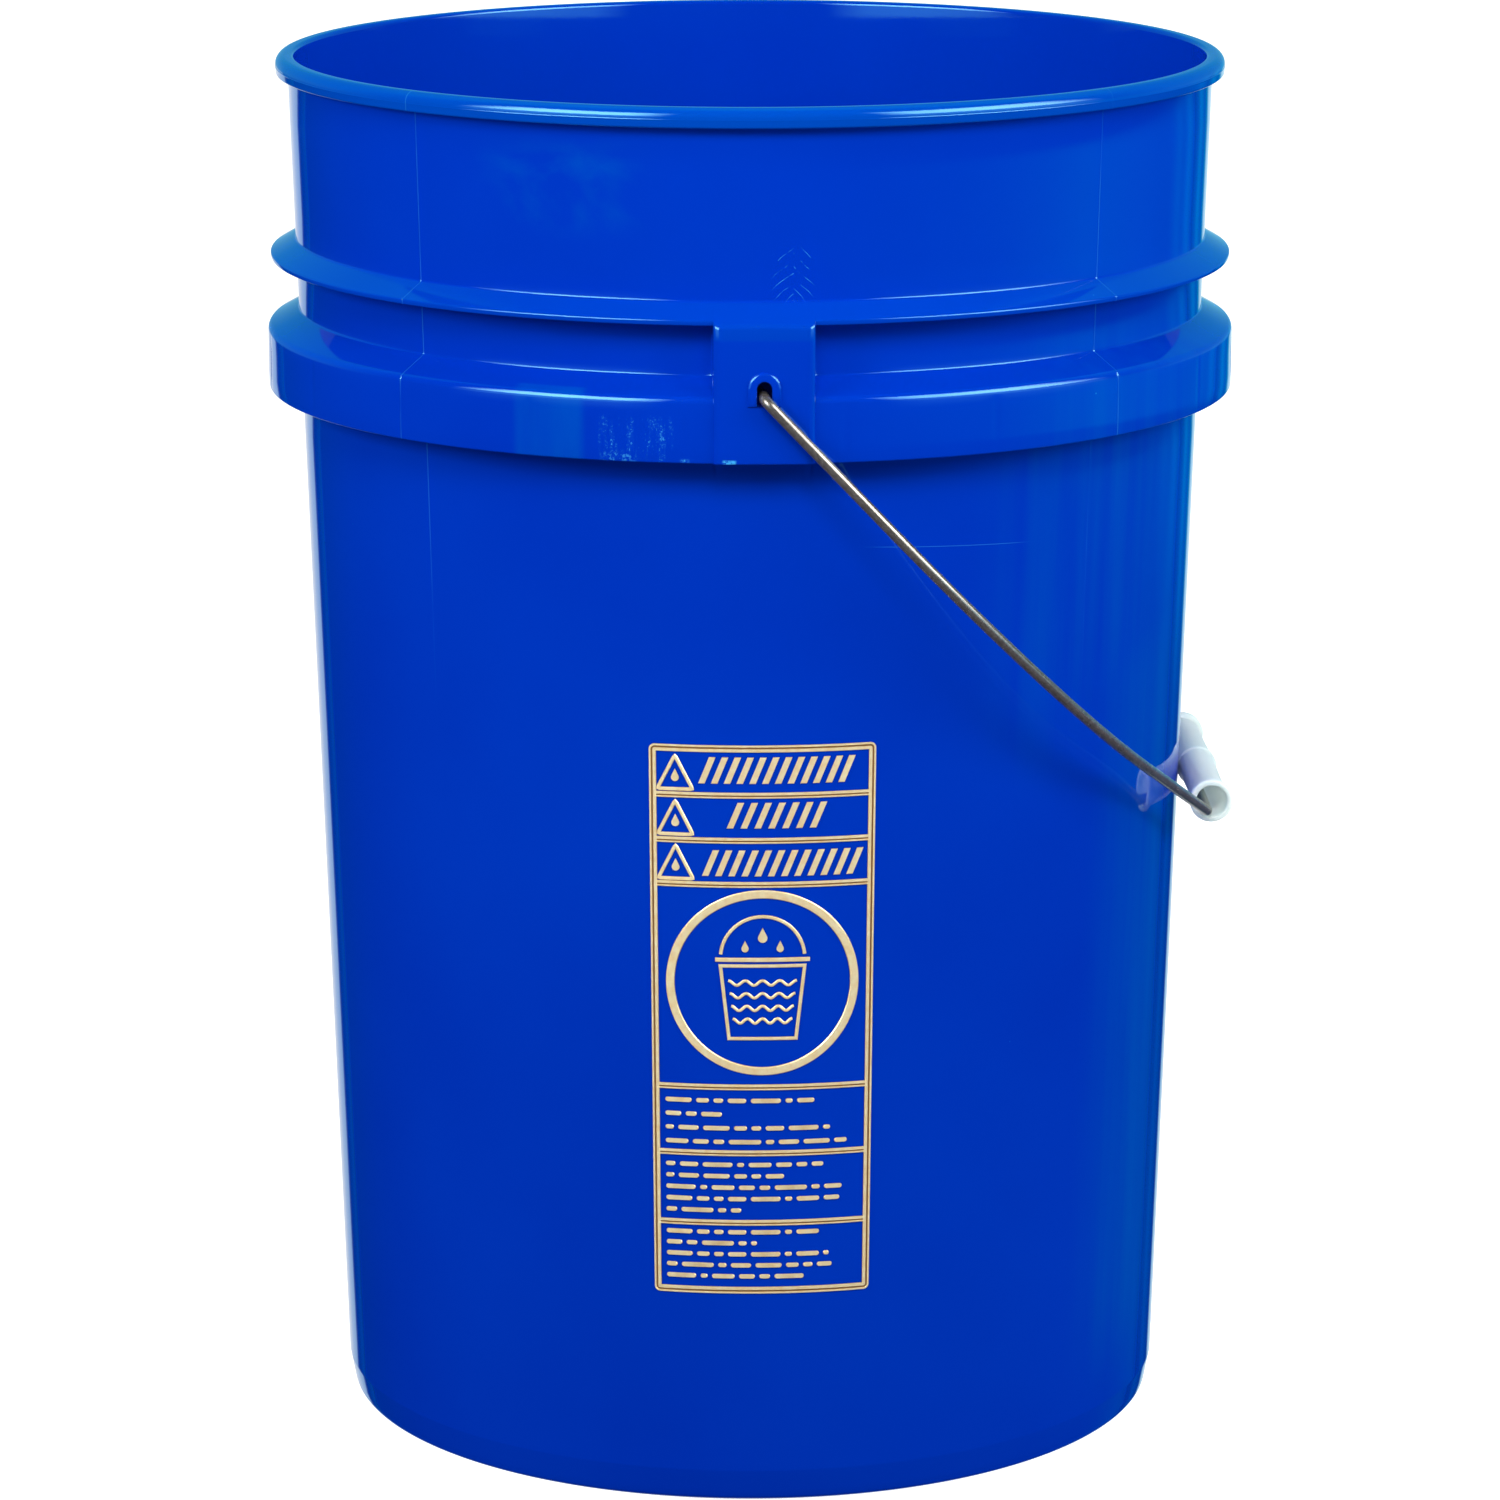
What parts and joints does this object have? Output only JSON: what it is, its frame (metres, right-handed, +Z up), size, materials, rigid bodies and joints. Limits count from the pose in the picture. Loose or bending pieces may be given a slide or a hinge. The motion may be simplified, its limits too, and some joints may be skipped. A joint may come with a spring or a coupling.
{
  "type": "wash bucket",
  "caption": "Tall moulded plastic wash pail with a rolled rim, stiffening skirt and ears, a swinging steel wire bail and a turning tube grip.",
  "frame": {"origin": "on the pail's axis, on the plane that the foot ring stands on", "axes": "+Z up along the pail's axis; the front, with the foil panel and one ear, faces -Y; the bail rests on the +X side and pivots on a line along Y"},
  "size_m": [0.3122, 0.3228, 0.4445],
  "materials": {
    "pail_plastic": "glossy moulded polyethylene with light scuffs",
    "gold_foil": "hot-stamped satin gold foil",
    "bail_steel": "bright drawn wire, smooth",
    "grip_plastic": "natural translucent polyethylene"
  },
  "bodies": {
    "pail": {"pail_body": "pail_plastic", "foil_panel": "gold_foil"},
    "bail": {"bail_wire": "bail_steel"},
    "grip": {"hand_grip": "grip_plastic"}
  },
  "joints": [
    {"name": "bail_swing", "type": "hinge", "parent": "pail", "child": "bail", "pos_m": [0, 0, 0.358], "axis": [0, -1, 0], "range_deg": [0, 271]},
    {"name": "grip_spin", "type": "hinge", "parent": "bail", "child": "grip", "pos_m": [0.1479, 0, 0.20688], "axis": [0, 1, 0], "continuous": true}
  ]
}
